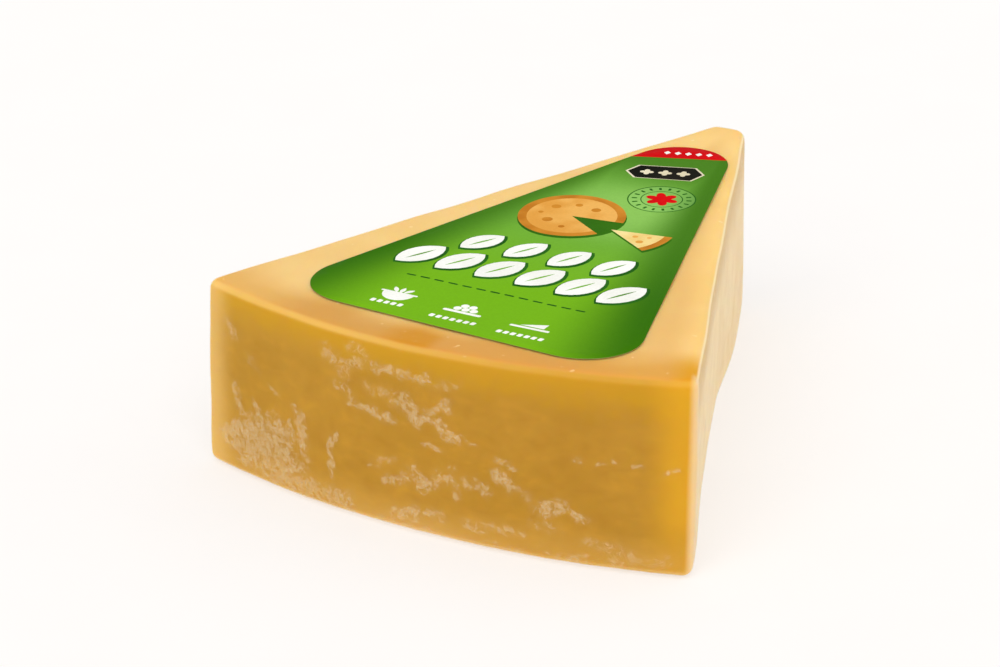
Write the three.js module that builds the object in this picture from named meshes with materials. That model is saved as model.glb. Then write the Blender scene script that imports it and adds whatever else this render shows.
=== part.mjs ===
// A wedge of Italian-style hard cheese: an eighth of a low wheel, shrunk tight in clear film,
// with a rounded triangular sticker on its top face.
// Millimetres, +Z up. The rind faces -Y and the thin end points to +Y.
// The origin is on the table, below the middle of the whole piece.
import * as THREE from 'three';

// ---- Driving dimensions -------------------------------------------------------------------
const WHEEL_RADIUS = 127; // of the wheel that the wedge was cut from
const WEDGES_PER_WHEEL = 8;
const HEIGHT = 35.9; // of the wedge at the middle of its rind, without the sticker
const TIP_CUT = 8.1; // how far the blunt thin end stops short of the wheel's centre
const RIND_CORNER_ROUND = 2.2; // radius of the two upright corners at the rind
const TIP_CORNER_ROUND = 2.9; // and of the two at the thin end
const TOP_EDGE_ROUND = 1.9;
const BOTTOM_EDGE_ROUND = 1.8;

const TIP_RISE = 1.2; // how much higher the top face lies at the wheel's centre than at the rind
const RIGHT_RISE = 0.8; // how much higher it lies at the rind's right corner than at its middle
const RIND_TUCK = 1.5; // how far the foot of the rind draws in, at its middle
const CUT_HOLLOW_TOP = 0.3; // depth of the hollow along the top of each cut face
const CUT_HOLLOW_FOOT = 1.4; // and along its foot
const TIP_SPREAD = 1.2; // how far the foot of the thin end stands out
const TIP_SPREAD_AT = 0.84; // where on the cut faces it does so most, from rind (0) to tip (1)
const TIP_SPREAD_WIDTH = 0.12;
const SIDE_SWELL = 0.22; // unevenness of the upright faces
const TOP_SWELL = 0.2; // unevenness of the top face
const SWELL_LENGTH = 34; // of its longest waves

const STICKER_RIND_ROUND = 10.2; // radius of the two corners near the rind
const STICKER_TIP_ROUND = 9.2; // and of the corner near the tip
const STICKER_HALF_BASE = 22.2; // from the middle to the centre of a corner near the rind
const STICKER_SLANT = 1.4; // how much nearer the tip the left one of them lies, and the right one less
const STICKER_LENGTH = 75.8; // from the middle between them to the tip corner's centre
const STICKER_THICKNESS = 0.35;
const STICKER_GAP = 0.3; // between the sticker and the face under it
const STICKER_FROM_CENTRE = 107.6; // from the wheel's centre to the middle between them
const STICKER_ASIDE = 0.6; // from the wedge's middle line
const STICKER_TURN = -0.3; // degrees, seen from above

// ---- How finely the faces are divided -----------------------------------------------------
const RIND_STEPS = 36;
const CUT_STEPS = 34;
const TIP_STEPS = 2;
const WEDGE_CORNER_STEPS = 5;
const WALL_STEPS = 9;
const EDGE_STEPS = 4;
const TOP_RINGS = 11;
const BOTTOM_RINGS = 3;
const STICKER_BASE_STEPS = 12;
const STICKER_SIDE_STEPS = 20;
const STICKER_CORNER_STEPS = 9;
const STICKER_RINGS = 8;
const RING_CROWDING = 1.15; // above 1, the rings of a flat face lie closer together at its edge

const HALF_ANGLE = Math.PI / WEDGES_PER_WHEEL;
const QUARTER_TURN = Math.PI / 2;
const GOLDEN_ANGLE = Math.PI * (3 - Math.sqrt(5));
const { lerp } = THREE.MathUtils;

// ---- Unevenness ---------------------------------------------------------------------------
// In plan, everything below is measured from the wheel's centre.

// A smooth uneven field from -1 to 1: crossed waves, each a little shorter and weaker.
function swell(x, y, z) {
  const waves = 6;
  let sum = 0;
  let most = 0;
  for (let k = 1; k <= waves; k++) {
    const turn = k * GOLDEN_ANGLE;
    const along = x * Math.cos(turn) + y * Math.sin(turn) + z * Math.sin(3 * turn);
    const weight = 1 / k;
    sum += weight * Math.sin((2 * Math.PI * Math.sqrt(k) * along) / SWELL_LENGTH + k * k);
    most += weight;
  }
  return sum / most;
}

function topHeight(x, y) {
  const towardsTip = 1 - Math.hypot(x, y) / WHEEL_RADIUS;
  const aside = x / (WHEEL_RADIUS * Math.sin(HALF_ANGLE));
  return HEIGHT + TIP_RISE * towardsTip + RIGHT_RISE * aside + TOP_SWELL * swell(x, y, HEIGHT);
}

// How far a place on the upright faces stands out from the plain sector; low is 1 at the foot
// and 0 at the top.
function standOut({ alongRind, toTip }, low) {
  const tuck = RIND_TUCK * low ** 2 * Math.sin(Math.PI * alongRind);
  const hollow = lerp(CUT_HOLLOW_TOP, CUT_HOLLOW_FOOT, low) * Math.sin(Math.PI * toTip);
  const offPeak = (toTip - TIP_SPREAD_AT) / TIP_SPREAD_WIDTH;
  const spread = TIP_SPREAD * low * Math.exp(-0.5 * offPeak ** 2);
  return spread - hollow - tuck;
}

// ---- Outlines -----------------------------------------------------------------------------
// An outline is a list of places { core, normal, round }: its edge is core + round * normal,
// and a smaller rounding gives an outline inside it.
function edgePoint({ core, normal, round }, inset) {
  return core.clone().addScaledVector(normal, round - inset);
}

function pointing(angle) {
  return new THREE.Vector2(Math.cos(angle), Math.sin(angle));
}

function cornerAt(x, y, round) {
  return { core: new THREE.Vector2(x, y), round };
}

// The straight run between two rounded corners.
function runBetween(from, to, normalAngle, steps) {
  return Array.from({ length: steps }, (_, i) => ({
    core: from.core.clone().lerp(to.core, i / steps),
    normal: pointing(normalAngle),
    round: lerp(from.round, to.round, i / steps),
  }));
}

function turnAt(corner, fromAngle, toAngle, steps) {
  return Array.from({ length: steps }, (_, i) => ({
    core: corner.core.clone(),
    normal: pointing(lerp(fromAngle, toAngle, i / steps)),
    round: corner.round,
  }));
}

// The wedge, anticlockwise from the rind's left end. Each place also says how far it is along
// the rind, and how far from the rind to the tip, both from 0 to 1.
function wedgeOutline() {
  const coreRadius = WHEEL_RADIUS - RIND_CORNER_ROUND;
  const rindTurn = HALF_ANGLE - Math.asin(RIND_CORNER_ROUND / coreRadius);
  const rindLeftAngle = -QUARTER_TURN - rindTurn;
  const rindRightAngle = -QUARTER_TURN + rindTurn;
  const tipY = -TIP_CUT - TIP_CORNER_ROUND;
  const tipHalf = -tipY * Math.tan(HALF_ANGLE) - TIP_CORNER_ROUND / Math.cos(HALF_ANGLE);

  const rindX = coreRadius * Math.sin(rindTurn);
  const rindY = -coreRadius * Math.cos(rindTurn);
  const rindLeft = cornerAt(-rindX, rindY, RIND_CORNER_ROUND);
  const rindRight = cornerAt(rindX, rindY, RIND_CORNER_ROUND);
  const tipRight = cornerAt(tipHalf, tipY, TIP_CORNER_ROUND);
  const tipLeft = cornerAt(-tipHalf, tipY, TIP_CORNER_ROUND);
  const leftAngle = Math.PI - HALF_ANGLE;

  const rind = Array.from({ length: RIND_STEPS }, (_, i) => {
    const normal = pointing(lerp(rindLeftAngle, rindRightAngle, i / RIND_STEPS));
    const core = normal.clone().multiplyScalar(coreRadius);
    return { core, normal, round: RIND_CORNER_ROUND, alongRind: i / RIND_STEPS, toTip: 0 };
  });
  const rightFace = runBetween(rindRight, tipRight, HALF_ANGLE, CUT_STEPS);
  const leftFace = runBetween(tipLeft, rindLeft, leftAngle, CUT_STEPS);
  const tip = [
    ...turnAt(tipRight, HALF_ANGLE, QUARTER_TURN, WEDGE_CORNER_STEPS),
    ...runBetween(tipRight, tipLeft, QUARTER_TURN, TIP_STEPS),
    ...turnAt(tipLeft, QUARTER_TURN, leftAngle, WEDGE_CORNER_STEPS),
  ];
  const rightCorner = turnAt(rindRight, rindRightAngle, HALF_ANGLE, WEDGE_CORNER_STEPS);
  const leftCorner = turnAt(rindLeft, leftAngle, rindLeftAngle + 4 * QUARTER_TURN, WEDGE_CORNER_STEPS);

  const placed = (places, toTip) =>
    places.map((place, i) => ({ ...place, alongRind: 0, toTip: toTip(i / places.length) }));
  return [
    ...rind,
    ...placed(rightCorner, () => 0),
    ...placed(rightFace, (share) => share),
    ...placed(tip, () => 1),
    ...placed(leftFace, (share) => 1 - share),
    ...placed(leftCorner, () => 0),
  ];
}

// The direction that the straight run between two rounded corners faces.
function outwardAngle(from, to) {
  const way = to.core.clone().sub(from.core);
  return way.angle() - QUARTER_TURN + Math.asin((from.round - to.round) / way.length());
}

// The sticker, anticlockwise from its left corner near the rind, in its own frame: the origin is
// midway between the corners near the rind, and the tip corner's centre lies on x = 0.
function stickerOutline() {
  const corners = [
    { ...cornerAt(-STICKER_HALF_BASE, STICKER_SLANT, STICKER_RIND_ROUND), steps: STICKER_BASE_STEPS },
    { ...cornerAt(STICKER_HALF_BASE, -STICKER_SLANT, STICKER_RIND_ROUND), steps: STICKER_SIDE_STEPS },
    { ...cornerAt(0, STICKER_LENGTH, STICKER_TIP_ROUND), steps: STICKER_SIDE_STEPS },
  ];
  return corners.flatMap((corner, i) => {
    const next = corners[(i + 1) % corners.length];
    const turnFrom = outwardAngle(corners.at(i - 1), corner);
    const turn = THREE.MathUtils.euclideanModulo(outwardAngle(corner, next) - turnFrom, 2 * Math.PI);
    return [
      ...turnAt(corner, turnFrom, turnFrom + turn, STICKER_CORNER_STEPS),
      ...runBetween(corner, next, turnFrom + turn, corner.steps),
    ];
  });
}

// ---- Skins --------------------------------------------------------------------------------
// Closes a stack of rings of equal length, the lowest first, with one point below and one above.
function skinOver(rings, bottomPoint, topPoint) {
  const around = rings[0].length;
  const points = [...rings.flat(), bottomPoint, topPoint];
  const bottomIndex = points.length - 2;
  const topIndex = points.length - 1;
  const at = (ring, i) => ring * around + (i % around);
  const faces = [];
  for (let i = 0; i < around; i++) {
    faces.push(bottomIndex, at(0, i + 1), at(0, i));
    faces.push(topIndex, at(rings.length - 1, i), at(rings.length - 1, i + 1));
    for (let ring = 0; ring + 1 < rings.length; ring++) {
      faces.push(at(ring, i), at(ring, i + 1), at(ring + 1, i + 1));
      faces.push(at(ring, i), at(ring + 1, i + 1), at(ring + 1, i));
    }
  }
  const geometry = new THREE.BufferGeometry().setFromPoints(points);
  geometry.setIndex(faces);
  geometry.computeVertexNormals();
  return geometry;
}

// Shares of the way from a flat face's edge to its middle, for the rings that cover it.
function inwardShares(count) {
  return Array.from({ length: count - 1 }, (_, i) => ((i + 1) / count) ** RING_CROWDING);
}

function wedgeGeometry() {
  const outline = wedgeOutline();
  const middle = new THREE.Vector2(0, -WHEEL_RADIUS * 0.66);

  // A point on the upright faces, inset from the true edge, at share up of its height.
  const wallPoint = (place, up, inset) => {
    const p = edgePoint(place, inset);
    const out = standOut(place, 1 - up) + SIDE_SWELL * swell(p.x, p.y, up * HEIGHT);
    return p.addScaledVector(place.normal, out);
  };
  const lowRing = (z, inset, share = 0) =>
    outline.map((place) => {
      const p = wallPoint(place, z / HEIGHT, inset).lerp(middle, share);
      return new THREE.Vector3(p.x, p.y, z);
    });
  const highRing = (below, inset, share = 0) =>
    outline.map((place) => {
      const p = wallPoint(place, 1 - below / HEIGHT, inset).lerp(middle, share);
      return new THREE.Vector3(p.x, p.y, topHeight(p.x, p.y) - below);
    });

  const rings = [];
  for (const share of inwardShares(BOTTOM_RINGS + 1).reverse()) {
    rings.push(lowRing(0, BOTTOM_EDGE_ROUND, share));
  }
  for (let step = 0; step <= EDGE_STEPS; step++) {
    const turn = (QUARTER_TURN * step) / EDGE_STEPS;
    const up = BOTTOM_EDGE_ROUND * (1 - Math.cos(turn));
    rings.push(lowRing(up, BOTTOM_EDGE_ROUND * (1 - Math.sin(turn))));
  }
  const wallFoot = rings.at(-1);
  const wallTop = highRing(TOP_EDGE_ROUND, 0);
  for (let step = 1; step < WALL_STEPS; step++) {
    const share = step / WALL_STEPS;
    rings.push(
      outline.map((place, i) => {
        const z = lerp(wallFoot[i].z, wallTop[i].z, share);
        const p = wallPoint(place, z / wallTop[i].z, 0);
        return new THREE.Vector3(p.x, p.y, z);
      }),
    );
  }
  for (let step = 0; step <= EDGE_STEPS; step++) {
    const turn = (QUARTER_TURN * step) / EDGE_STEPS;
    const below = TOP_EDGE_ROUND * (1 - Math.sin(turn));
    rings.push(highRing(below, TOP_EDGE_ROUND * (1 - Math.cos(turn))));
  }
  for (const share of inwardShares(TOP_RINGS)) {
    rings.push(highRing(0, TOP_EDGE_ROUND, share));
  }
  const bottomPoint = new THREE.Vector3(middle.x, middle.y, 0);
  const topPoint = new THREE.Vector3(middle.x, middle.y, topHeight(middle.x, middle.y));
  return skinOver(rings, bottomPoint, topPoint);
}

function stickerGeometry() {
  const outline = stickerOutline();
  const turn = THREE.MathUtils.degToRad(STICKER_TURN);
  const middle = new THREE.Vector2(0, STICKER_LENGTH * 0.36);
  const faceLift = STICKER_GAP + STICKER_THICKNESS;

  // From the sticker's own frame to a point above the wedge's top face.
  const laid = (p, lift) => {
    const q = p.clone().rotateAround(new THREE.Vector2(), turn);
    const x = STICKER_ASIDE + q.x;
    const y = -STICKER_FROM_CENTRE + q.y;
    return new THREE.Vector3(x, y, topHeight(x, y) + lift);
  };
  const ringAt = (share, lift) =>
    outline.map((place) => laid(edgePoint(place, 0).lerp(middle, share), lift));

  const shares = [0, ...inwardShares(STICKER_RINGS)];
  const back = shares.map((share) => ringAt(share, STICKER_GAP)).reverse();
  const face = shares.map((share) => ringAt(share, faceLift));
  return skinOver([...back, ...face], laid(middle, STICKER_GAP), laid(middle, faceLift));
}

// ---- The piece ----------------------------------------------------------------------------
const cheese = new THREE.Mesh(
  wedgeGeometry(),
  new THREE.MeshStandardMaterial({ color: 0xd9a04a, roughness: 0.38, metalness: 0 }),
);
cheese.name = 'cheese_wedge';

const sticker = new THREE.Mesh(
  stickerGeometry(),
  new THREE.MeshStandardMaterial({ color: 0x5fa31c, roughness: 0.35, metalness: 0 }),
);
sticker.name = 'label';

const piece = new THREE.Group();
piece.add(cheese, sticker);

// From the wheel's centre to the middle of the piece's footprint.
const bounds = new THREE.Box3().setFromObject(piece, true);
const centre = bounds.getCenter(new THREE.Vector3());
for (const mesh of piece.children) {
  mesh.position.set(-centre.x, -centre.y, 0);
}

export default piece;
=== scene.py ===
# The looks of a wedge of hard cheese: the cheese itself, the clear film shrunk tight on it, and
# the printed sticker on top. Metres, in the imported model's frame: the rind faces -Y, +Z is up.
import math

import bmesh
import bpy
import numpy as np
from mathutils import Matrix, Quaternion, Vector, noise
from mathutils.bvhtree import BVHTree
from mathutils.geometry import delaunay_2d_cdt


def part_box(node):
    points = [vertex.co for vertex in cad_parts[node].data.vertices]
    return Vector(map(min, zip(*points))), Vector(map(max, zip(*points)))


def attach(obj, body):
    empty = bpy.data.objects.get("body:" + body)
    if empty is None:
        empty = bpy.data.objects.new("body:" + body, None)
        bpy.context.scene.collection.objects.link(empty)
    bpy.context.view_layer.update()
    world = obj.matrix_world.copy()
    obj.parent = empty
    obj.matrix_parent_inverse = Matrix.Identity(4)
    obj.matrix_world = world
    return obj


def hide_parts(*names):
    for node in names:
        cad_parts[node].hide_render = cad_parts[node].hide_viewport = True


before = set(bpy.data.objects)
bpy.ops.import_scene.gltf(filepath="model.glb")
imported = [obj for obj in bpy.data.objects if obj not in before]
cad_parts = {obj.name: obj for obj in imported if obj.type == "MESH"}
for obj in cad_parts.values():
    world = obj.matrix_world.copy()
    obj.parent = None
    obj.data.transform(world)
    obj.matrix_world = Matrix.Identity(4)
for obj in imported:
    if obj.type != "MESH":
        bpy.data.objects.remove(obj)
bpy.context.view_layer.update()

MM = 0.001
wedge_low, wedge_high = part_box("cheese_wedge")

# ---- The wedge in its wheel ----------------------------------------------------------------
WHEEL_RADIUS = 127 * MM
HALF_ANGLE = math.radians(22.5)
WHEEL_CENTRE = Vector((0, wedge_low.y + WHEEL_RADIUS, 0))
RIGHT_OUT = Vector((math.cos(HALF_ANGLE), math.sin(HALF_ANGLE), 0))
LEFT_OUT = Vector((-math.cos(HALF_ANGLE), math.sin(HALF_ANGLE), 0))
RIND_STARTS, RIND_FULL = WHEEL_RADIUS - 4 * MM, WHEEL_RADIUS - 2 * MM
TOP = wedge_high.z

# ---- The cheese and its film ---------------------------------------------------------------
CHEESE_INSET = 0.12 * MM  # of the cheese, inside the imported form
PASTE_RELIEF = 0.03 * MM
RIND_RELIEF = 0.10 * MM
FILM_LIFT = 0.14 * MM  # of loose film, off the cheese
CRINKLE_DEPTH = 0.13 * MM
LIFT_ON_CUTS = 0.35  # of the lift on the rind
STROKE_WARP, STROKE_WARP_SIZE = 1.1, 2.2  # mm: how far a stroke's edge strays, and how often
HAZE_MOST = 0.32  # of loose film
HAZE_EVEN = 0.22  # the share of it that isn't in flakes
SHEEN_LEAST = 0.015  # of tight film, seen straight on
SHEEN_MOST = 0.21  # and seen edge on
MERGE_WITHIN = 0.002 * MM
UPRIGHT_BELOW = 0.6  # of the upward part of a face's normal
FILM_CUTS = (4, 1)  # extra cuts across each smoothed face of the rind and of the cut faces
CHEESE_CUTS = (1, 0)

# Colours, as they look on a screen.
PASTE, PASTE_CLOUD = 0xF5CB7E, 0xF1C475
NEAR_RIND, NEAR_RIND_RIGHT, NEAR_RIND_LEFT = 0xCE8A1C, 0xDC9A0E, 0xE2A748
PAINTED_STICKER_SHADOW, BESIDE_LEFT = 0xDDA660, 0xDCBC84  # a painted shadow of the sticker on the strip of the top beside its right edge, and the strip beside its left side
CUT, CUT_CLOUD, CUT_BAND, CUT_NEAR_RIND = 0xF4D7A4, 0xEAC68C, 0xD0A568, 0xDDA95A
# A painted highlight along the rounded top edge of the cut faces, and pale crystals.
CUT_EDGE_HIGHLIGHT, CRYSTAL = 0xFBE3B4, 0xFCE2AC
RIND, RIND_BLOTCH, RIND_PALE, RIND_DARK = 0xB58625, 0xBB8B2A, 0xCB972C, 0xA5741A
# The rind's golden band under its top edge, a painted golden glow of light through its right end, and
# its paler left end.
RIND_BAND, RIND_RIGHT_GLOW, RIND_LEFT = 0xCC9A16, 0xDFA81A, 0xE4B868
# The rind paler low down, painted light along its foot, and painted highlights on its rounded top
# edge and rounded upright corners.
RIND_LOW, RIND_FOOT_LIGHT, RIND_CROWN_HIGHLIGHT, RIND_CORNER_HIGHLIGHT = 0xCFA04A, 0xEFCB86, 0xEFC878, 0xF1D2A0
FILM = 0xFBDFA8

# ---- The sticker, in millimetres in its own frame: x across, y towards the wedge's tip -----
STICKER_ASIDE = 0.6
STICKER_FROM_CENTRE = 107.6
STICKER_TURN = math.radians(-0.3)
STICKER_CORNERS = (  # x, y and radius, anticlockwise
    (-22.2, 1.4, 10.2),
    (22.2, -1.4, 10.2),
    (0.0, 75.8, 9.2),
)
STICKER_LIFT = 0.22  # of its face above the film
STICKER_THICK = 0.17
STICKER_EDGE_ROUND = 0.06
GRID_STEP = 2.2  # of the points that divide its face
GREEN, GREEN_FAR = 0x75B41A, 0x6FAC3E  # near the rind, and towards the tip
GREEN_EDGE, GREEN_EDGE_FAR = 0x2E6A06, 0x457C1A
GREEN_GLOW, GREEN_LIGHT = 0x94CB62, 0x9BD578

# ---- Camera and light ----------------------------------------------------------------------
CAMERA_PLACE = (0.3535, -0.6713, 0.3462)
CAMERA_AZIMUTH = math.radians(28.88)
CAMERA_ELEVATION = math.radians(23.53)
CAMERA_ROLL = math.radians(0.587)
CAMERA_LENS = 164.74
FLOOR_REACH = 3.0
FLOOR_DROP = 0.2 * MM
FLOOR_GLOW = 0.585  # its own light, as of a light table, which keeps its shadows faint
AIR, AIR_STRENGTH = (1.0, 0.985, 0.97, 1), 0.62
LAMPS = (  # name, azimuth from the front, elevation and width in degrees, and strength
    ("key", 15, 45, 60, 1.65),
    ("fill", 118, 50, 60, 0.35),
)


# ---- Small helpers -------------------------------------------------------------------------
def srgb(code):
    """A colour code such as 0xD9A04A as linear numbers."""
    parts = [(code >> shift & 255) / 255 for shift in (16, 8, 0)]
    return [p / 12.92 if p <= 0.04045 else ((p + 0.055) / 1.055) ** 2.4 for p in parts] + [1.0]


def smooth(low, high, value):
    """0 below low, 1 above high, and an even slope between."""
    share = np.clip((value - low) / (high - low), 0, 1)
    return share * share * (3 - 2 * share)


def new_object(name, mesh):
    piece = bpy.data.objects.new(name, mesh)
    bpy.context.scene.collection.objects.link(piece)
    return piece


class Nodes:
    """One material's node tree, built by short calls that each give back a socket."""

    def __init__(self, name):
        self.material = bpy.data.materials.new(name)
        self.material.use_nodes = True
        self.tree = self.material.node_tree
        self.tree.nodes.clear()

    def add(self, kind, inputs=None, out=0, **settings):
        node = self.tree.nodes.new(kind)
        for key, value in settings.items():
            setattr(node, key, value)
        for key, value in (inputs or {}).items():
            if isinstance(value, bpy.types.NodeSocket):
                self.tree.links.new(value, node.inputs[key])
            else:
                node.inputs[key].default_value = value
        return node.outputs[out]

    def place(self):
        return self.add("ShaderNodeTexCoord", out="Object")

    def math(self, operation, a, b=0.0, clamp=False):
        return self.add("ShaderNodeMath", {0: a, 1: b}, operation=operation, use_clamp=clamp)

    def times(self, first, *others):
        for other in others:
            first = self.math("MULTIPLY", first, other)
        return first

    def drift(self, noise, reach):
        """Noise as a drift to both sides of 0."""
        return self.times(self.math("SUBTRACT", noise, 0.5), reach)

    def vector(self, operation, a, b=(0, 0, 0)):
        out = "Value" if operation in ("LENGTH", "DOT_PRODUCT") else "Vector"
        return self.add("ShaderNodeVectorMath", {0: a, 1: b}, out, operation=operation)

    def ramp(self, value, low, high, to_low=0.0, to_high=1.0):
        inputs = {"Value": value, 1: low, 2: high, 3: to_low, 4: to_high}
        return self.add("ShaderNodeMapRange", inputs, interpolation_type="SMOOTHSTEP")

    def mix(self, share, a, b):
        return self.add("ShaderNodeMix", {0: share, 6: a, 7: b}, 2, data_type="RGBA")

    def noise(self, place, size, detail=3.0, rough=0.5, bend=0.0):
        """Noise whose features are about size metres across."""
        inputs = {"Vector": place, "Scale": 1 / size, "Detail": detail, "Roughness": rough,
                  "Distortion": bend}
        return self.add("ShaderNodeTexNoise", inputs)

    def bump(self, height, distance, strength):
        inputs = {"Height": height, "Distance": distance, "Strength": strength}
        return self.add("ShaderNodeBump", inputs)

    def finish(self, surface):
        self.add("ShaderNodeOutputMaterial", {"Surface": surface}, out=slice(0, 0))
        return self.material


# ---- Materials of the cheese and its film --------------------------------------------------
def wheel_place(n):
    """A point, its way from the wheel's centre, and its radius in the wheel."""
    place = n.place()
    from_centre = n.vector("SUBTRACT", place, WHEEL_CENTRE)
    radius = n.vector("LENGTH", n.vector("MULTIPLY", from_centre, (1, 1, 0)))
    return place, from_centre, radius


def paste_colour(n, place, radius, behind_right, behind_left, below_top, turned):
    """The colour of the top and of the cut faces."""
    # The top: pale with faint clouds, and orange close to the rind.
    clouds = n.noise(place, 18 * MM, detail=2.0)
    paste = n.mix(n.ramp(clouds, 0.35, 0.65), srgb(PASTE), srgb(PASTE_CLOUD))
    toward_rind = n.ramp(n.math("ADD", radius, n.drift(clouds, 12 * MM)), 112 * MM, 122.5 * MM)
    on_right = n.ramp(behind_right, 26 * MM, 8 * MM)
    near_rind = n.mix(on_right, srgb(NEAR_RIND), srgb(NEAR_RIND_RIGHT))
    near_rind = n.mix(n.ramp(behind_left, 26 * MM, 10 * MM), near_rind, srgb(NEAR_RIND_LEFT))
    paste = n.mix(toward_rind, paste, near_rind)

    nearer_right = n.math("SUBTRACT", behind_left, behind_right)
    # Painted shade: the sticker's shadow on the strip of the top beside its right edge.
    sticker_shadow = n.times(n.ramp(behind_right, 1.5 * MM, 6.5 * MM), n.ramp(nearer_right, 0, 6 * MM), 0.5)
    paste = n.mix(sticker_shadow, paste, srgb(PAINTED_STICKER_SHADOW))
    paste = n.mix(n.ramp(nearer_right, -6 * MM, -20 * MM, 0.0, 0.25), paste, srgb(BESIDE_LEFT))

    # Upright cut faces: creamier, with a tan band along the top and a thin painted highlight along
    # their rounded top edge.
    grain = n.noise(place, 6 * MM, detail=7.0, rough=0.72, bend=0.2)
    cut = n.mix(n.ramp(grain, 0.3, 0.7), srgb(CUT), srgb(CUT_CLOUD))
    cut = n.mix(n.ramp(below_top, 13 * MM, 2.5 * MM, 0.0, 0.85), cut, srgb(CUT_BAND))
    cut = n.mix(n.ramp(radius, 121 * MM, 126 * MM, 0.0, 0.5), cut, srgb(CUT_NEAR_RIND))
    paste = n.mix(n.ramp(turned, 0.82, 0.95), paste, cut)
    # A painted highlight on the rounding between the top and the cut faces.
    edge = n.times(n.ramp(turned, 0.66, 0.84), n.ramp(turned, 0.99, 0.90), 0.85)
    paste = n.mix(edge, paste, srgb(CUT_EDGE_HIGHLIGHT))
    crystals = n.ramp(n.noise(place, 1.6 * MM, detail=1.0), 0.73, 0.8, 0.0, 0.45)
    return n.mix(crystals, paste, srgb(CRYSTAL))


def rind_colour(n, place, mottled, behind_right, behind_left, below_top, height):
    """Ochre with soft blotches, golden under its top edge, with a painted golden glow at its right
    end and painted light along its foot.
    """
    blotches = n.noise(place, 12 * MM, detail=4.0, rough=0.55, bend=0.3)
    rind = n.mix(n.ramp(blotches, 0.35, 0.68), srgb(RIND), srgb(RIND_BLOTCH))
    rind = n.mix(n.ramp(mottled, 0.48, 0.7, 0.0, 0.45), rind, srgb(RIND_PALE))
    rind = n.mix(n.ramp(mottled, 0.5, 0.3, 0.0, 0.3), rind, srgb(RIND_DARK))
    rind = n.mix(n.ramp(height, 9 * MM, 1 * MM, 0.0, 0.65), rind, srgb(RIND_LOW))
    uneven_top = n.math("ADD", below_top, n.drift(mottled, 12 * MM))
    rind = n.mix(n.ramp(uneven_top, 9.5 * MM, 3 * MM, 0.0, 0.75), rind, srgb(RIND_BAND))
    # A painted golden glow, as of light shining through the translucent right end.
    golden_glow = n.times(n.ramp(behind_right, 10 * MM, 2.5 * MM, 0.0, 0.7),
                     n.ramp(height, 2 * MM, 14 * MM, 0.4, 1.0))
    rind = n.mix(golden_glow, rind, srgb(RIND_RIGHT_GLOW))
    rind = n.mix(n.ramp(behind_left, 9 * MM, 1.0 * MM, 0.0, 0.85), rind, srgb(RIND_LEFT))
    # Painted light: paler along the foot, where shade falls at the floor.
    return n.mix(n.ramp(height, 1.6 * MM, 0.8 * MM, 0.0, 0.35), rind, srgb(RIND_FOOT_LIGHT))


def cheese_material():
    n = Nodes("cheese")
    place, from_centre, radius = wheel_place(n)
    behind_right, behind_left = (
        n.times(n.vector("DOT_PRODUCT", from_centre, out), -1.0) for out in (RIGHT_OUT, LEFT_OUT)
    )
    height = n.add("ShaderNodeSeparateXYZ", {0: place}, out=2)
    below_top = n.math("SUBTRACT", TOP, height)
    turned = n.add("ShaderNodeAttribute", out="Fac", attribute_name="turned")
    paste = paste_colour(n, place, radius, behind_right, behind_left, below_top, turned)
    flattened = n.vector("MULTIPLY", place, (1, 1, 1.5))
    mottled = n.noise(flattened, 4.5 * MM, detail=6.0, rough=0.68, bend=0.3)
    rind = rind_colour(n, place, mottled, behind_right, behind_left, below_top, height)

    outward = n.times(n.ramp(radius, WHEEL_RADIUS - 2.8 * MM, WHEEL_RADIUS - 1.3 * MM),
                      n.ramp(turned, 0.3, 0.75))
    colour = n.mix(outward, paste, rind)
    # A painted highlight along the rind's rounded top edge.
    crown_highlight = n.times(n.ramp(turned, 0.2, 0.65), n.ramp(turned, 1.0, 0.8),
                    n.ramp(radius, 124 * MM, 125.4 * MM),
                    n.ramp(behind_right, 15 * MM, 75 * MM, 0.15, 0.55))
    colour = n.mix(crown_highlight, colour, srgb(RIND_CROWN_HIGHLIGHT))
    # A painted highlight on the rounded upright corners, where the rind meets the cut faces.
    behind_cut = n.math("MINIMUM", behind_right, behind_left)
    corner = n.times(n.ramp(behind_cut, 1.8 * MM, 0.4 * MM),
                     n.ramp(radius, 122 * MM, 124 * MM), 0.8)
    colour = n.mix(corner, colour, srgb(RIND_CORNER_HIGHLIGHT))

    relief = n.math("ADD", n.times(mottled, 0.6), n.noise(place, 6 * MM, detail=2.0))
    shader = n.add("ShaderNodeBsdfPrincipled", {
        "Base Color": colour,
        "Roughness": 0.55,
        "IOR": 1.4,
        "Specular IOR Level": 0.1,
        "Subsurface Weight": 1.0,
        "Subsurface Radius": (1.0, 0.6, 0.2),
        "Subsurface Scale": 1.8 * MM,
        "Normal": n.bump(relief, 0.15 * MM, n.times(outward, 0.5)),
    })
    return n.finish(shader)


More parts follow.
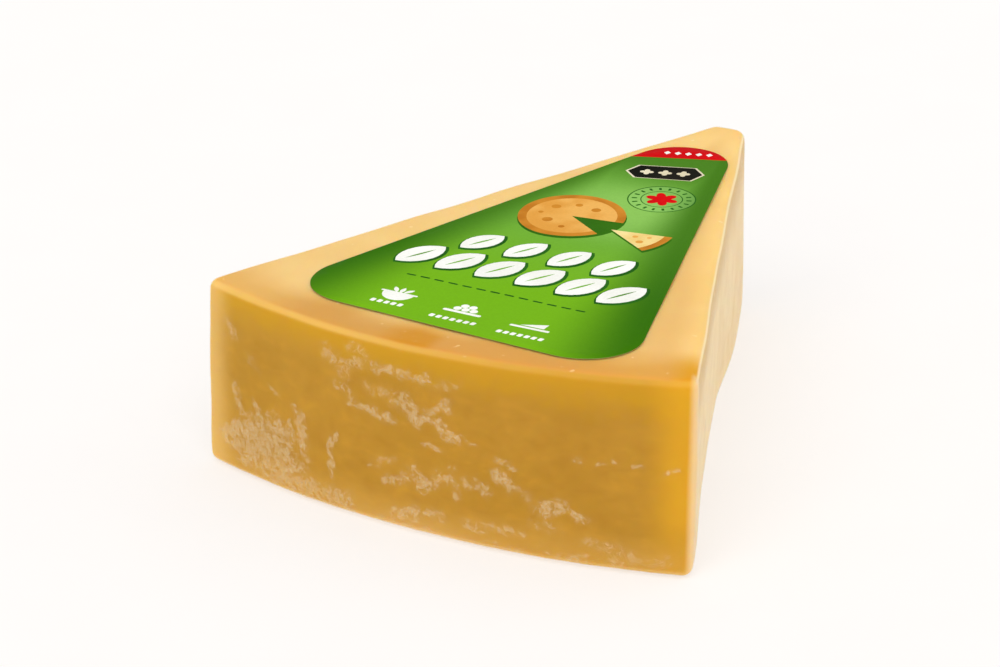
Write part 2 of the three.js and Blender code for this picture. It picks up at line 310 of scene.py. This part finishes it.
def film_material():
    n = Nodes("film")
    place, _, radius = wheel_place(n)
    loose = n.add("ShaderNodeAttribute", out="Fac", attribute_name="loose")
    flakes = n.noise(place, 1.3 * MM, detail=6.0, rough=0.72, bend=0.7)
    specks = n.noise(place, 0.45 * MM, detail=4.0, rough=0.65, bend=0.8)
    patchy = n.noise(place, 4 * MM, detail=3.0)

    # Loose film is hazy: softly all over, and more so in ragged flakes.
    broken = n.times(loose, n.ramp(flakes, 0.40, 0.60, 0.3, 1.4))
    ragged = n.times(n.ramp(broken, 0.14, 0.74), n.ramp(specks, 0.38, 0.62, 0.4, 1.15))
    veil = n.math("ADD", ragged, n.times(loose, HAZE_EVEN))
    veil = n.math("MULTIPLY", veil, HAZE_MOST, clamp=True)

    # Crinkles that are too fine for the mesh, on the rind alone.
    on_rind = n.ramp(radius, RIND_STARTS, RIND_FULL)
    crinkled = n.times(specks, n.times(n.ramp(broken, 0.1, 0.6), on_rind))
    normal = n.bump(crinkled, 0.16 * MM, 0.45)
    facing = n.add("ShaderNodeLayerWeight", {"Blend": 0.5, "Normal": normal}, out="Facing")
    grazing = n.math("POWER", facing, 5.0)
    sheen = n.math("ADD", n.times(grazing, SHEEN_MOST - SHEEN_LEAST), SHEEN_LEAST)
    skin = n.add("ShaderNodeBsdfPrincipled", {
        "Base Color": srgb(FILM),
        "Roughness": n.ramp(patchy, 0.3, 0.7, 0.19, 0.26),
        "IOR": 1.45,
        "Normal": normal,
    })
    clear = n.add("ShaderNodeBsdfTransparent", {"Color": (1, 1, 1, 1)})
    shown = n.math("ADD", veil, sheen, clamp=True)
    return n.finish(n.add("ShaderNodeMixShader", {0: shown, 1: clear, 2: skin}))


# ---- The wedge's smooth form ---------------------------------------------------------------
def wheel_numbers(points):
    """Radius, arc along the rind and height of each point."""
    from_centre = points - np.array(WHEEL_CENTRE)
    radius = np.hypot(from_centre[:, 0], from_centre[:, 1])
    arc = WHEEL_RADIUS * np.arctan2(from_centre[:, 0], -from_centre[:, 1])
    return radius, arc, points[:, 2]


def upright_rind(face):
    away = face.calc_center_median() - WHEEL_CENTRE
    away.z = 0
    return away.length > RIND_STARTS and abs(face.normal.z) < UPRIGHT_BELOW


def upright_cut(face):
    return abs(face.normal.z) < UPRIGHT_BELOW and not upright_rind(face)


def smooth_form():
    """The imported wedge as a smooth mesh."""
    bm = bmesh.new()
    bm.from_mesh(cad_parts["cheese_wedge"].data)
    bmesh.ops.remove_doubles(bm, verts=bm.verts, dist=MERGE_WITHIN)
    bmesh.ops.join_triangles(
        bm, faces=bm.faces, angle_face_threshold=math.radians(30),
        angle_shape_threshold=math.radians(70),
    )
    mesh = bpy.data.meshes.new("form")
    bm.to_mesh(mesh)
    bm.free()
    rough = new_object("form", mesh)
    rough.modifiers.new("smooth", "SUBSURF").levels = 1
    bpy.context.view_layer.update()
    graph = bpy.context.evaluated_depsgraph_get()
    made = bpy.data.meshes.new_from_object(rough.evaluated_get(graph))
    bpy.data.objects.remove(rough)
    return made


def divided(form, cuts):
    """A copy of the form with smaller faces on the rind and on the cut faces."""
    bm = bmesh.new()
    bm.from_mesh(form)
    for chosen, count in zip((upright_rind, upright_cut), cuts):
        edges = {edge for face in bm.faces if chosen(face) for edge in face.edges}
        if count:
            bmesh.ops.subdivide_edges(bm, edges=list(edges), cuts=count, use_grid_fill=True)
    bmesh.ops.triangulate(bm, faces=[f for f in bm.faces if len(f.verts) > 4])
    bmesh.ops.recalc_face_normals(bm, faces=bm.faces)
    mesh = bpy.data.meshes.new("skin")
    bm.to_mesh(mesh)
    bm.free()
    for polygon in mesh.polygons:
        polygon.use_smooth = True
    return mesh


def mesh_numbers(mesh):
    points = np.empty(len(mesh.vertices) * 3, np.float32)
    normals = np.empty(len(mesh.vertices) * 3, np.float32)
    mesh.vertices.foreach_get("co", points)
    mesh.vertices.foreach_get("normal", normals)
    return points.reshape(-1, 3).astype(float), normals.reshape(-1, 3).astype(float)


def moved(mesh, points):
    mesh.vertices.foreach_set("co", points.astype(np.float32).ravel())
    mesh.update()


# ---- Loose film ----------------------------------------------------------------------------
# Strokes along which the film has come off the rind: arc and height of both ends, half width
# and strength, in millimetres from the rind's middle and from the table.
RIND_STROKES = (
    # the crumpled corner at the lower left
    (-44, 7.0, -37, 10.5, 1.1, 0.8), (-38, 9.5, -30, 12.0, 1.7, 0.9),
    (-37, 7.5, -29, 9.0, 1.6, 0.9), (-42, 6.0, -36, 6.5, 1.0, 0.7),
    (-39, 4.0, -29, 4.5, 1.4, 0.7), (-32, 3.0, -22, 3.5, 1.3, 0.7),
    (-22, 3.5, -15, 3.0, 1.2, 0.6), (-41, 17.0, -40, 12.5, 0.7, 0.6),
    (-36, 15.5, -35, 12.0, 0.5, 0.7), (-40, 13.0, -37, 13.0, 0.5, 0.4),
    (-26.5, 18.0, -26, 16.5, 0.5, 0.8), (-25, 16.0, -24, 9.5, 0.9, 0.7),
    (-27.5, 15.0, -26.5, 11.0, 0.4, 0.6), (-28, 10.0, -27, 4.5, 0.6, 1.0),
    (-29.5, 10.0, -28.5, 5.0, 0.4, 0.8), (-17, 15.0, -18, 12.5, 0.4, 0.6),
    (-18, 12.5, -18, 7.0, 0.4, 0.7), (-37, 23.5, -35, 22.0, 0.7, 0.35),
    (-42.5, 29.0, -41.0, 27.0, 0.9, 0.4), (-31.5, 20.0, -30.5, 18.8, 0.5, 0.45),
    (-31, 7.0, -25, 5.5, 1.3, 0.6), (-29, 4.0, -23, 3.5, 1.2, 0.6),
    (-27, 1.5, -17, 1.2, 0.8, 0.55), (-33, 14.5, -32, 11.0, 0.5, 0.6),
    (-30.5, 14.0, -30, 11.5, 0.4, 0.5),
    # the long slanted run from the upper left
    (-13.5, 33.0, -11, 32.5, 0.8, 0.4), (-18.5, 30.5, -15, 28.0, 1.1, 0.5),
    (-15.5, 29.5, -8.5, 31.0, 0.7, 0.5), (-9, 30.5, 2.5, 30.5, 0.6, 0.7),
    (-16.5, 25.0, -14, 24.0, 0.6, 0.5), (-13.5, 22.5, -5.5, 21.5, 0.7, 0.7),
    (-10, 26.0, -4, 26.5, 0.8, 0.35), (-5, 24.5, -2.5, 26.0, 0.5, 0.6),
    (-2.5, 25.5, 0, 23.0, 1.1, 0.8), (-1, 23.0, 2.5, 23.0, 0.6, 0.9),
    (2.5, 24.5, 6, 26.5, 0.8, 0.6), (4.5, 22.5, 7.5, 20.5, 0.8, 0.85),
    (7.5, 21.0, 11.5, 20.0, 0.3, 0.5), (2, 18.0, 4, 17.5, 0.5, 0.7),
    (3.5, 29.0, 8, 31.0, 0.7, 0.35),
    # the lower middle
    (-9.5, 12.0, -4.5, 13.5, 0.6, 0.4), (-7, 9.5, -2.5, 10.5, 0.7, 0.6),
    (-1, 13.0, 0.5, 9.5, 0.7, 0.7), (1, 10.0, 5, 12.5, 0.9, 0.65),
    (6.5, 14.5, 7.5, 9.5, 0.6, 0.5), (-5.5, 3.0, -0.5, 4.5, 0.9, 0.6),
    (2, 5.0, 4.5, 4.5, 0.8, 0.5),
    # the lower right and the foot
    (15.5, 18.0, 18.5, 17.0, 0.5, 0.7), (15.5, 15.0, 17.5, 13.5, 0.9, 0.7),
    (9.5, 12.5, 13, 12.0, 0.8, 0.6), (19.5, 13.5, 21.5, 10.5, 0.7, 0.5),
    (24, 10.5, 27, 11.0, 1.0, 0.7), (27, 11.0, 31.5, 9.0, 0.7, 0.65),
    (22, 7.5, 25.5, 7.0, 0.8, 0.4), (9, 4.5, 12.5, 4.5, 0.7, 0.5),
    (14.5, 5.0, 19.5, 5.0, 0.7, 0.5), (32, 5.0, 39.5, 4.0, 0.9, 0.4),
    (24.5, 2.0, 31, 2.0, 0.4, 0.5), (36, 2.0, 45, 3.0, 0.8, 0.4),
    (-8, 1.2, 4, 1.0, 0.6, 0.4), (8, 1.2, 20, 1.2, 0.6, 0.35),
    # a row of specks towards the right edge
    (29, 20.5, 30, 20.5, 0.35, 0.6), (33, 20.0, 34, 20.0, 0.35, 0.65),
    (35.5, 21.0, 36.5, 21.0, 0.35, 0.6), (39, 20.0, 41, 20.5, 0.3, 0.55),
    (45, 19.5, 46.5, 20.0, 0.4, 0.8),
)

# The same on the right cut face: length from the rind's corner, and height.
SIDE_STROKES = (
    (48, 24.0, 38, 18.5, 0.5, 0.45), (38, 18.5, 27, 14.5, 0.5, 0.45),
    (36, 33.0, 40, 31.0, 0.5, 0.45), (41, 31.0, 49, 28.5, 0.5, 0.5),
    (44, 34.0, 52, 32.0, 0.5, 0.45), (52, 30.0, 57, 26.0, 0.5, 0.4),
    (14, 28.0, 22, 24.0, 0.6, 0.3), (64, 31.0, 76, 29.0, 0.6, 0.3),
)


def loose_film(arc, height, strokes):
    """How loose the film is at each place of a face, from 0 to 1. All in millimetres."""
    size = STROKE_WARP_SIZE
    warp = STROKE_WARP * np.array([
        (noise.noise((a / size, h / size, 3.1)), noise.noise((a / size, h / size, 8.7)))
        for a, h in zip(arc, height)
    ])
    x, y = arc + warp[:, 0], height + warp[:, 1]
    loose = np.zeros(len(arc))
    for x0, y0, x1, y1, half, strength in strokes:
        way = np.array([x1 - x0, y1 - y0], float)
        share = np.clip(((x - x0) * way[0] + (y - y0) * way[1]) / (way @ way), 0, 1)
        far = np.hypot(x - x0 - share * way[0], y - y0 - share * way[1]) / half
        loose = np.maximum(loose, strength * smooth(2.7, 0.2, far))
    return loose


def crinkles(arc, height):
    """Sharp little ridges, from 0 to 1, that lean with the slanted folds of the film."""
    lean = math.radians(35)
    along = arc * math.cos(lean) - height * math.sin(lean)
    across = arc * math.sin(lean) + height * math.cos(lean)

    def ridge(u, v):
        fold = noise.noise((u, v / 2.6, 1.7)) + 0.4 * noise.noise((u / 0.6, v / 0.7, 5.2))
        return 1 - min(1, 2.4 * abs(fold))

    return np.array([ridge(u, v) for u, v in zip(along, across)])


def set_numbers(mesh, name, values):
    attribute = mesh.attributes.new(name, "FLOAT", "POINT")
    attribute.data.foreach_set("value", values.astype(np.float32))


def make_cheese(form):
    mesh = divided(form, CHEESE_CUTS)
    points, normals = mesh_numbers(mesh)
    radius = wheel_numbers(points)[0]
    on_rind = smooth(RIND_STARTS, WHEEL_RADIUS - 1 * MM, radius)
    depth = PASTE_RELIEF + (RIND_RELIEF - PASTE_RELIEF) * on_rind
    relief = np.array([
        0.7 * noise.noise(Vector(p) / (4 * MM)) + 0.3 * noise.noise(Vector(p) / (1.4 * MM))
        for p in points
    ])
    moved(mesh, points + normals * (depth * relief - CHEESE_INSET)[:, None])
    level = np.clip(normals[:, 2], 0, 1)
    set_numbers(mesh, "turned", np.sqrt(1 - level ** 2))
    mesh.materials.clear()
    mesh.materials.append(cheese_material())
    return new_object("cheese", mesh)


def make_film(form):
    mesh = divided(form, FILM_CUTS)
    points, normals = mesh_numbers(mesh)
    radius, arc, height = wheel_numbers(points)
    flat = points - np.array(WHEEL_CENTRE)
    along_right = np.array((math.sin(HALF_ANGLE), -math.cos(HALF_ANGLE), 0))
    from_corner = WHEEL_RADIUS - flat @ along_right
    on_rind = smooth(RIND_STARTS, RIND_FULL, radius)
    on_right = smooth(0.5, 0.9, normals @ np.array(RIGHT_OUT))
    loose = np.zeros(len(points))
    ridges = np.zeros(len(points))
    for share, across, strokes in (
        (on_rind, arc, RIND_STROKES),
        (on_right, from_corner, SIDE_STROKES),
    ):
        at = np.flatnonzero(share > 0)
        u, v = across[at] / MM, height[at] / MM
        here = loose_film(u, v, strokes) * share[at]
        ridges[at] = np.where(here > loose[at], crinkles(u, v), ridges[at])
        loose[at] = np.maximum(loose[at], here)
    lift = FILM_LIFT * loose + CRINKLE_DEPTH * loose * ridges
    lift *= LIFT_ON_CUTS + (1 - LIFT_ON_CUTS) * on_rind
    points = points + normals * lift[:, None]
    points[:, 2] = np.maximum(points[:, 2], 0)
    moved(mesh, points)
    set_numbers(mesh, "loose", loose)
    mesh.materials.clear()
    mesh.materials.append(film_material())
    return new_object("film", mesh)


# ---- Shapes printed on the sticker ---------------------------------------------------------
# Each is a list of points in millimetres in the sticker's frame. The functions that end in
# _shapes give each one with its ink, from the bottom layer to the top one.
def turned(points, degrees, x=0.0, y=0.0):
    c, s = math.cos(math.radians(degrees)), math.sin(math.radians(degrees))
    return [(x + c * px - s * py, y + s * px + c * py) for px, py in points]


def arc_points(radius, start, end, steps, x=0.0, y=0.0):
    angles = [math.radians(start + (end - start) * i / steps) for i in range(steps + 1)]
    return [(x + radius * math.cos(a), y + radius * math.sin(a)) for a in angles]


def disc(x, y, radius, steps=40):
    return arc_points(radius, 0, 360 - 360 / steps, steps - 1, x, y)


def bar(width, height, round_, steps=2):
    """A rounded bar about the origin."""
    x, y = width / 2 - round_, height / 2 - round_
    corners = ((x, y, 0), (-x, y, 90), (-x, -y, 180), (x, -y, 270))
    return [p for cx, cy, a in corners for p in arc_points(round_, a, a + 90, steps, cx, cy)]


def leaf(length, width, steps=9):
    """A pointed leaf along y: two arcs that meet at its ends."""
    bend = (length ** 2 / 4 + width ** 2 / 4) / width
    half = math.degrees(math.asin(length / 2 / bend))
    right = arc_points(bend, -half, half, steps, width / 2 - bend)
    return right[:-1] + [(-x, -y) for x, y in right[:-1]]


def rosette(x, y, outer, inner, petals, steps=8):
    count = petals * steps
    reach = [inner + (outer - inner) * abs(math.cos(math.pi * i / steps)) for i in range(count)]
    return [(x + r * math.cos(2 * math.pi * i / count), y + r * math.sin(2 * math.pi * i / count))
            for i, r in enumerate(reach)]


def sector(x, y, radius, start, end, steps=12):
    return [(x, y)] + arc_points(radius, start, end, steps, x, y)


def sticker_outline(inset=0.0, steps=22):
    """The rounded triangle, anticlockwise."""
    points = []
    for i, (x, y, radius) in enumerate(STICKER_CORNERS):
        before, after = STICKER_CORNERS[i - 1], STICKER_CORNERS[(i + 1) % 3]
        start = facing(before, (x, y, radius))
        end = facing((x, y, radius), after)
        while end < start:
            end += 360
        points += arc_points(radius - inset, start, end, steps, x, y)
    return points


def facing(a, b):
    """The angle that the straight run from corner a to corner b faces."""
    way = Vector((b[0] - a[0], b[1] - a[1]))
    return math.degrees(math.atan2(way.y, way.x) + math.asin((a[2] - b[2]) / way.length)) - 90


def cut_to(points, keep):
    """The part of a convex outline on the side where keep(point) is above 0."""
    made = []
    for a, b in zip(points, points[1:] + points[:1]):
        ka, kb = keep(a), keep(b)
        if ka > 0:
            made.append(a)
        if ka * kb < 0:
            share = ka / (ka - kb)
            made.append((a[0] + share * (b[0] - a[0]), a[1] + share * (b[1] - a[1])))
    return made


def spots(ink, x, y, places, steps):
    return [(ink, disc(x + px, y + py, size, steps)) for px, py, size in places]


def print_shapes():
    shapes = [("ground", sticker_outline()), ("ground", sticker_outline(STICKER_EDGE_ROUND))]
    for part in (cap_shapes, plate_shapes, badge_shapes, picture_shapes, leaf_shapes, dish_shapes):
        shapes += part()
    return shapes


def cap_shapes():
    """A red cap at the tip, with a row of white lozenges."""
    slope = math.tan(math.radians(19.5))
    lozenge = [(0.65, 0), (0, 0.85), (-0.65, 0), (0, -0.85)]
    shapes = [("red", cut_to(sticker_outline(), lambda p: p[1] - 79.0 - slope * p[0]))]
    for i in range(5):
        x = -4.6 + 1.9 * i
        shapes.append(("white", turned(lozenge, 17, x, 81.7 + 0.3 * x)))
    return shapes


def plate_shapes():
    """A dark plate with a pale rim and three pale flowers."""
    plate = [(7.4, 0), (5.4, 3.2), (-5.4, 3.2), (-7.4, 0), (-5.4, -3.2), (5.4, -3.2)]
    shapes = [
        (ink, [(x * scale, y * scale) for x, y in plate])
        for ink, scale in (("cream", 1.0), ("dark", 0.94))
    ]
    shapes += [("cream", rosette(x, 0, 1.3, 0.7, 4)) for x in (-3.4, 0.0, 3.4)]
    return [(ink, turned(points, 18, -0.2, 70.9)) for ink, points in shapes]


def badge_shapes():
    """A ring badge with a red rosette."""
    x, y = 5.2, 59.2
    rings = (("deep", 6.3), ("glow", 6.05), ("deep", 3.9), ("glow", 3.7))
    shapes = [(ink, disc(x, y, radius)) for ink, radius in rings]
    for angle in range(0, 360, 20):
        tick_x, tick_y = arc_points(5.0, angle, angle, 1, x, y)[0]
        shapes.append(("deep", turned(bar(0.5, 1.0, 0.12), angle - 90, tick_x, tick_y)))
    return shapes + [("red", rosette(x, y, 3.1, 1.7, 6))]


def picture_shapes():
    """A round of cheese seen from above, with one slice slid out."""
    x, y, slice_from, slice_to = -5.4, 44.6, -34, 8
    slid_x, slid_y = x + 9.3, y - 2.4
    holes = (
        (-4.6, 2.6, 0.9), (-1.2, 5.0, 0.7), (-3.2, -3.4, 1.0),
        (2.6, 4.4, 0.9), (-5.9, -0.9, 0.5), (0.7, -5.3, 0.6),
    )
    slice_holes = ((5.4, -1.0, 0.55), (7.2, -2.9, 0.7), (7.9, -0.4, 0.45))
    return [
        ("shade", disc(x + 0.5, y - 0.9, 9.9)),
        ("amber", disc(x, y, 9.8, 60)),
        ("honey", disc(x, y, 8.2, 60)),
        *spots("amber", x, y, holes, 16),
        ("shade", sector(x, y, 9.8, slice_from, slice_to)),
        ("shade", sector(slid_x + 0.5, slid_y - 0.9, 11.6, slice_from, slice_to)),
        ("amber", sector(slid_x, slid_y, 11.6, slice_from, slice_to)),
        ("butter", sector(slid_x, slid_y, 10.1, slice_from, slice_to)),
        *spots("honey", slid_x, slid_y, slice_holes, 14),
    ]


def leaf_shapes():
    """Two rows of white leaves, each with a dark rim and a green rib."""
    shapes = []
    for count, left, right, y, length, width in (
        (4, -13.6, 12.8, 26.4, 9.4, 5.4),
        (6, -20.6, 19.6, 16.6, 10.6, 6.2),
    ):
        for i in range(count):
            x = left + (right - left) * i / (count - 1)
            shapes += [
                ("deep", turned(leaf(length + 1.1, width + 1.0), -28, x + 0.3, y - 0.35)),
                ("white", turned(leaf(length, width), -28, x, y)),
                ("ground", turned(leaf(length * 0.62, 0.55, 5), -28, x, y)),
            ]
    return shapes


def dish_shapes():
    """A thin broken rule, and three small dishes with broken bars under them."""
    dash, block = bar(1.9, 0.5, 0.2), bar(0.9, 1.15, 0.2)
    shapes = [("deep", turned(dash, 0, -16.9 + 2.8 * i, 7.1)) for i in range(13)]
    for x, y, marks, draw in (
        (-14.6, -1.2, 5, bowl), (-1.0, -2.1, 7, dome), (12.6, -2.8, 7, board),
    ):
        shapes += [("white", turned(points, 0, x, y)) for points in draw()]
        for i in range(marks):
            shapes.append(("white", turned(block, -8, x + 1.35 * (i - (marks - 1) / 2), y - 4.1)))
    return shapes


def bowl():
    leaves = [turned(leaf(2.2, 0.9, 5), lean, x, 1.5) for lean, x in ((35, -1.3), (0, 0), (-35, 1.3))]
    return [sector(0, 0.2, 3.0, 180, 360), turned(bar(7.2, 0.55, 0.2), 0, 0, 0.35)] + leaves


def dome():
    places = ((-1.6, 0.5), (0, 0.5), (1.6, 0.5), (-0.8, 1.8), (0.8, 1.8))
    rounds = [disc(x, y, 0.75, 14) for x, y in places]
    return [turned(bar(7.4, 0.8, 0.35, 3), 0, 0, -0.8)] + rounds


def board():
    piece = [(-2.2, 0.0), (2.4, 0.0), (2.4, 1.9)]
    return [turned(bar(7.6, 0.7, 0.2), 0, 0, -0.7), piece]


# ---- The sticker's inks --------------------------------------------------------------------
def sticker_place(n):
    """The object's coordinates in millimetres in the sticker's frame, as x and y sockets."""
    origin = sticker_origin()
    from_origin = n.vector("SUBTRACT", n.place(), (origin.x, origin.y, 0))
    c, s = math.cos(STICKER_TURN) / MM, math.sin(STICKER_TURN) / MM
    return (n.vector("DOT_PRODUCT", from_origin, (c, s, 0)),
            n.vector("DOT_PRODUCT", from_origin, (-s, c, 0)))


def sticker_origin():
    return WHEEL_CENTRE + Vector((STICKER_ASIDE * MM, -STICKER_FROM_CENTRE * MM, 0))


def printed(n, colour):
    """Glossy paper under a printed colour, with a faint grain."""
    grain = n.noise(n.place(), 0.5 * MM, detail=2.0)
    colour = n.mix(n.ramp(grain, 0.3, 0.7, 0.0, 0.05), colour, srgb(0x101010))
    shader = n.add("ShaderNodeBsdfPrincipled", {
        "Base Color": colour,
        "Roughness": n.ramp(n.noise(n.place(), 6 * MM), 0.3, 0.7, 0.34, 0.42),
        "IOR": 1.3,
        "Specular IOR Level": 0.012,
        "Normal": n.bump(n.noise(n.place(), 9 * MM, detail=1.0), 0.1 * MM, 0.3),
    })
    return n.finish(shader)


def green_ground(name, lighter=0.0):
    """Bright near the rind, glowing behind the picture, darker along the sides and at the tip."""
    n = Nodes(name)
    x, y = sticker_place(n)
    half_width = n.math("SUBTRACT", 32.3, n.times(y, 0.305))
    aside = n.math("ABSOLUTE", n.math("DIVIDE", n.math("ADD", x, 1.0), half_width))
    colour = n.mix(n.ramp(y, 8.0, 50.0), srgb(GREEN), srgb(GREEN_FAR))
    from_glow = {0: n.math("SUBTRACT", x, 1.5), 1: n.math("SUBTRACT", y, 51.0)}
    away = n.vector("LENGTH", n.add("ShaderNodeCombineXYZ", from_glow))
    glow = n.ramp(away, 19.0, 3.0, 0.0, 0.75)
    colour = n.mix(glow, colour, srgb(GREEN_GLOW))
    side = n.times(n.ramp(aside, 0.42, 1.0), n.ramp(y, -10.0, 22.0, 0.9, 1.0))
    tip = n.ramp(y, 58.0, 76.0, 0.0, 0.9)
    dark_green = n.mix(n.ramp(y, 0.0, 50.0), srgb(GREEN_EDGE), srgb(GREEN_EDGE_FAR))
    colour = n.mix(n.math("MAXIMUM", side, tip), colour, dark_green)
    if lighter:
        colour = n.mix(lighter, colour, srgb(GREEN_LIGHT))
    return printed(n, colour)


def ink(name, code, other, size=9.0):
    """A printed colour that drifts softly towards another one."""
    n = Nodes(name)
    drift = n.ramp(n.noise(n.place(), size * MM, detail=1.0), 0.35, 0.65)
    return printed(n, n.mix(drift, srgb(code), srgb(other)))


def sticker_inks():
    return {
        "ground": green_ground("sticker_green"),
        "glow": green_ground("sticker_green_light", 0.3),
        "deep": ink("sticker_deep_green", 0x1F5A14, 0x2A6A1A),
        "shade": ink("sticker_shade", 0x35700F, 0x2B6210),
        "red": ink("sticker_red", 0xDC080F, 0xD0060F),
        "dark": ink("sticker_dark", 0x14160F, 0x1E1C16),
        "cream": ink("sticker_cream", 0xE9E0C4, 0xDCD2B2),
        "amber": ink("sticker_amber", 0xD08A2E, 0xBF7722, 5.0),
        "honey": ink("sticker_honey", 0xEDB35C, 0xE2A046, 6.0),
        "butter": ink("sticker_butter", 0xF8E29C, 0xF1CF7C, 4.0),
        "white": ink("sticker_white", 0xFCFCF8, 0xF4F5EE),
        # The paper of the sticker's rim and back: olive, a print colour darkened to serve also as
        # painted shade along the rim.
        "paper": ink("sticker_paper_rim_shade", 0x8E9A52, 0x9CA862),
    }


# ---- The sticker ---------------------------------------------------------------------------
def inside(points, x, y):
    """True if a place lies in a closed outline."""
    hit = False
    for (ax, ay), (bx, by) in zip(points, points[1:] + points[:1]):
        if (ay > y) != (by > y) and x < ax + (y - ay) / (by - ay) * (bx - ax):
            hit = not hit
    return hit


def divided_print(shapes):
    """Triangles that fill the sticker, each lying in one printed shape, and the ink of each."""
    points, faces = [], []
    for _, outline in shapes:
        faces.append(list(range(len(points), len(points) + len(outline))))
        points += outline
    gridded = sticker_outline(0.8)
    for row in range(46):
        for column in range(34):
            x = GRID_STEP * (column - 16.5 + 0.5 * (row % 2))
            y = GRID_STEP * 0.9 * row - 11
            if inside(gridded, x, y):
                points.append((x, y))
    vertices, _, triangles, _, _, sources = delaunay_2d_cdt(
        [Vector(p) for p in points], [], faces, 1, 1e-4
    )
    inks = [shapes[max(source)][0] for source in sources]
    return [tuple(v) for v in vertices], triangles, inks


def make_sticker(form):
    inks = sticker_inks()
    names = list(inks)
    vertices, triangles, used = divided_print(print_shapes())
    origin = sticker_origin()
    bm = bmesh.new()
    bm.from_mesh(form)
    surface = BVHTree.FromBMesh(bm)
    bm.free()
    turn = Quaternion((0, 0, 1), STICKER_TURN)

    def laid(x, y):
        """The point of the sticker's face at a place, above the wedge's top."""
        place = origin + turn @ (Vector((x, y, 0)) * MM)
        hit = surface.ray_cast(Vector((place.x, place.y, TOP + 0.01)), Vector((0, 0, -1)))[0]
        return hit + Vector((0, 0, STICKER_LIFT * MM))

    bm = bmesh.new()
    top = [bm.verts.new(laid(x, y)) for x, y in vertices]
    for triangle, name in zip(triangles, used):
        face = bm.faces.new([top[i] for i in triangle])
        face.material_index = names.index(name)
        face.smooth = True
    rim = [edge for edge in bm.edges if edge.is_boundary]
    rim_verts = {v for edge in rim for v in edge.verts}
    under = [bm.verts.new(v.co - Vector((0, 0, STICKER_THICK * MM))) for v in top]
    for vert in rim_verts:
        vert.co.z -= STICKER_EDGE_ROUND * MM
    bm.verts.index_update()
    for triangle in triangles:
        face = bm.faces.new([under[i] for i in reversed(triangle)])
        face.material_index = names.index("paper")
    # The rim in the paper ink, which is partly painted shade.
    for edge in rim:
        i, j = (v.index for v in edge.verts)
        face = bm.faces.new([top[i], top[j], under[j], under[i]])
        face.material_index = names.index("paper")
    bmesh.ops.recalc_face_normals(bm, faces=bm.faces)
    mesh = bpy.data.meshes.new("sticker")
    bm.to_mesh(mesh)
    bm.free()
    for name in names:
        mesh.materials.append(inks[name])
    return new_object("sticker", mesh)


# ---- Stage ---------------------------------------------------------------------------------
def make_stage():
    n = Nodes("floor")
    fine = n.noise(n.place(), 20 * MM, detail=2.0)
    colour = n.mix(n.ramp(fine, 0.3, 0.7), srgb(0xA8A6A5), srgb(0xA9A7A6))
    shader = n.add("ShaderNodeBsdfPrincipled", {
        "Base Color": colour,
        "Roughness": 0.9,
        "Specular IOR Level": 0.0,
        "Emission Color": AIR,
        "Emission Strength": FLOOR_GLOW,
    })
    mesh = bpy.data.meshes.new("floor")
    bm = bmesh.new()
    bmesh.ops.create_circle(bm, cap_ends=True, radius=FLOOR_REACH, segments=64)
    bm.to_mesh(mesh)
    bm.free()
    mesh.materials.append(n.finish(shader))
    floor = new_object("floor", mesh)
    floor.location.z = -FLOOR_DROP

    world = bpy.data.worlds.new("studio")
    world.use_nodes = True
    background = world.node_tree.nodes["Background"]
    background.inputs["Color"].default_value = AIR
    background.inputs["Strength"].default_value = AIR_STRENGTH
    bpy.context.scene.world = world

    for name, azimuth, elevation, width, strength in LAMPS:
        lamp = bpy.data.lights.new(name, "SUN")
        lamp.angle = math.radians(width)
        lamp.energy = strength
        lit = new_object(name, lamp)
        a, e = math.radians(azimuth), math.radians(elevation)
        toward = Vector((math.sin(a) * math.cos(e), -math.cos(a) * math.cos(e), math.sin(e)))
        lit.rotation_mode = "QUATERNION"
        lit.rotation_quaternion = toward.to_track_quat("Z", "Y")


def make_camera():
    camera = bpy.data.cameras.new("camera")
    camera.sensor_width = 36
    camera.lens = CAMERA_LENS
    camera.clip_start, camera.clip_end = 0.01, 20
    view = new_object("camera", camera)
    a, e = CAMERA_AZIMUTH, CAMERA_ELEVATION
    ahead = Vector((-math.sin(a) * math.cos(e), math.cos(a) * math.cos(e), -math.sin(e)))
    view.location = CAMERA_PLACE
    view.rotation_mode = "QUATERNION"
    view.rotation_quaternion = ahead.to_track_quat("-Z", "Y") @ Quaternion((0, 0, 1), CAMERA_ROLL)
    bpy.context.scene.camera = view


def main():
    bpy.context.scene.view_settings.view_transform = "Standard"
    make_camera()
    make_stage()
    form = smooth_form()
    cheese = make_cheese(form)
    film = make_film(form)
    sticker = make_sticker(form)
    for piece, node, slot in (
        (cheese, "cheese_wedge", "cheese_in_film"),
        (film, "cheese_wedge", "cheese_in_film"),
        (sticker, "label", "sticker"),
    ):
        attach(piece, "root")
        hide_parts(node)


main()
bpy.context.view_layer.update()
